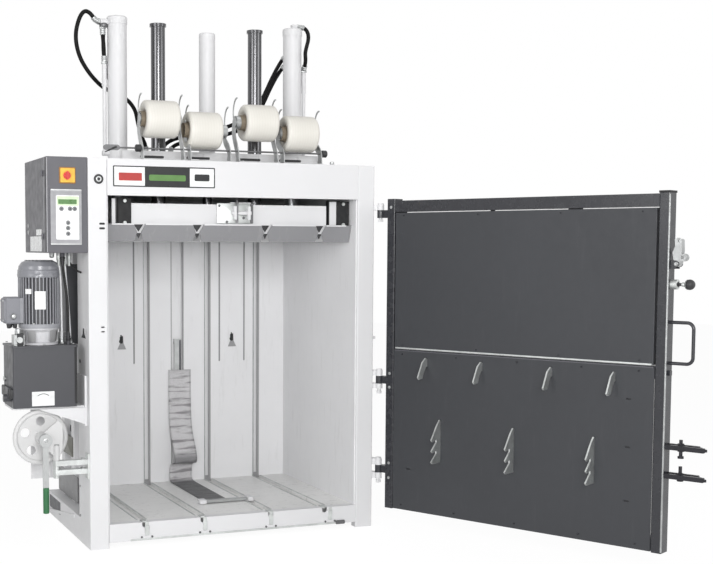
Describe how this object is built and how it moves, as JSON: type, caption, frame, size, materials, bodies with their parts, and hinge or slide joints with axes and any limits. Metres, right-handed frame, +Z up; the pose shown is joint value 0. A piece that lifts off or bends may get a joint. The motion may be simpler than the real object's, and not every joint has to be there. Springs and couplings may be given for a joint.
{
  "type": "vertical baler",
  "caption": "Upright recycling baler: a hydraulic press chamber with strap reels, side switch cabinet and motor unit, and a full-height door with a feed flap.",
  "frame": {"origin": "on the floor, under the middle of the left base rail; the middle of the chamber is 642.5 mm to the right of it and the posts' front faces are 500 mm in front of it", "axes": "+X to the right seen from the front, +Y from the front to the back, +Z up"},
  "size_m": [2.4963, 2.3457, 2.4094],
  "materials": {
    "frame_paint": "powder coat",
    "dark_paint": "powder coat",
    "unit_grey": "powder coat",
    "steel": "machined",
    "zinc": "zinc plated",
    "chrome_rod": "ground and polished",
    "motor_cast": "cast and painted",
    "hose_rubber": "hose cover",
    "black_plastic": "moulded",
    "panel_white": "moulded",
    "switch_red": "moulded",
    "grip_green": "moulded",
    "webbing": "woven",
    "strap_roll": "wound strap"
  },
  "bodies": {
    "frame": {"left_post": "frame_paint", "right_post": "frame_paint", "base_frame": "frame_paint", "front_sill": "frame_paint", "floor_plate": "frame_paint", "back_wall": "frame_paint", "left_side_wall": "frame_paint", "right_side_wall": "frame_paint", "rear_frame": "frame_paint", "head_fascia": "frame_paint", "head_plate": "frame_paint", "left_cylinder": "frame_paint", "right_cylinder": "frame_paint", "centre_guide_tube": "frame_paint", "return_pipes": "frame_paint", "hydraulic_block": "steel", "left_loop_hose": "hose_rubber", "left_short_hose": "hose_rubber", "right_loop_hose": "hose_rubber", "crossing_hose_a": "hose_rubber", "crossing_hose_b": "hose_rubber", "reel_cradles": "zinc", "feed_rail": "frame_paint", "release_rod": "zinc", "cabinet_box": "unit_grey", "oil_tank": "unit_grey", "tank_bracket": "unit_grey", "pump_bell_housing": "motor_cast", "motor_body": "motor_cast", "fan_cowl": "black_plastic", "terminal_box": "motor_cast", "valve_group": "steel", "level_cable": "hose_rubber", "door_hinges": "frame_paint", "ejector_webbing": "webbing", "ejector_irons": "zinc", "lock_bracket": "unit_grey"},
    "platen": {"platen": "frame_paint", "guide_pads": "black_plastic", "guide_columns": "chrome_rod", "piston_rods": "steel"},
    "door": {"door_frame": "dark_paint", "lower_panel": "dark_paint", "door_hooks": "zinc", "lock_forks": "steel", "door_handle": "dark_paint"},
    "flap": {"feed_flap": "dark_paint"},
    "latch": {"flap_latch": "zinc"},
    "plunger": {"latch_plunger": "black_plastic"},
    "cabinet_cover": {"cabinet_door": "unit_grey", "control_panel": "panel_white"},
    "switch": {"main_switch": "switch_red"},
    "lock_arm": {"swing_frame": "unit_grey"},
    "wheel": {"handwheel": "unit_grey"},
    "lever": {"ratchet_lever": "steel", "lever_grip": "grip_green"},
    "reel_a": {"reel_outer_left": "strap_roll"},
    "reel_b": {"reel_inner_left": "strap_roll"},
    "reel_c": {"reel_inner_right": "strap_roll"},
    "reel_d": {"reel_outer_right": "strap_roll"}
  },
  "joints": [
    {"name": "platen_slide", "type": "slide", "parent": "frame", "child": "platen", "axis": [0, 0, -1], "range_m": [0, 0.58]},
    {"name": "door_hinge", "type": "hinge", "parent": "frame", "child": "door", "pos_m": [1.3575, -0.506, 0.8], "axis": [0, 0, 1], "range_deg": [-117, 60]},
    {"name": "flap_hinge", "type": "hinge", "parent": "door", "child": "flap", "pos_m": [1.46162, -0.55396, 1.175], "axis": [0, 0, 1], "range_deg": [0, 85]},
    {"name": "latch_turn", "type": "hinge", "parent": "door", "child": "latch", "pos_m": [2.0321, -1.7672, 1.262], "axis": [0.891, 0.454, 0], "range_deg": [0, 40]},
    {"name": "plunger_slide", "type": "slide", "parent": "door", "child": "plunger", "axis": [0.454, -0.891, 0], "range_m": [-0.016, 0.006]},
    {"name": "cabinet_hinge", "type": "hinge", "parent": "frame", "child": "cabinet_cover", "pos_m": [-0.2268, -0.43485, 1.5], "axis": [0, 0, -1], "range_deg": [0, 110]},
    {"name": "switch_turn", "type": "hinge", "parent": "cabinet_cover", "child": "switch", "pos_m": [-0.1325, -0.495, 1.628], "axis": [0, -1, 0], "range_deg": [0, 90]},
    {"name": "lock_swing", "type": "hinge", "parent": "frame", "child": "lock_arm", "pos_m": [-0.1835, -0.47, 0.43], "axis": [0, 0, 1], "range_deg": [0, 95]},
    {"name": "wheel_spin", "type": "hinge", "parent": "lock_arm", "child": "wheel", "pos_m": [-0.2385, -0.402, 0.498], "axis": [0, 1, 0], "continuous": true},
    {"name": "lever_turn", "type": "hinge", "parent": "lock_arm", "child": "lever", "pos_m": [-0.2385, -0.51, 0.498], "axis": [0, -1, 0], "range_deg": [-90, 6]},
    {"name": "reel_a_spin", "type": "hinge", "parent": "frame", "child": "reel_a", "pos_m": [0.3075, -0.405, 1.89], "axis": [1, 0, 0], "continuous": true},
    {"name": "reel_b_spin", "type": "hinge", "parent": "frame", "child": "reel_b", "pos_m": [0.5075, -0.405, 1.847], "axis": [1, 0, 0], "continuous": true},
    {"name": "reel_c_spin", "type": "hinge", "parent": "frame", "child": "reel_c", "pos_m": [0.7775, -0.405, 1.89], "axis": [1, 0, 0], "continuous": true},
    {"name": "reel_d_spin", "type": "hinge", "parent": "frame", "child": "reel_d", "pos_m": [0.9775, -0.405, 1.847], "axis": [1, 0, 0], "continuous": true}
  ]
}
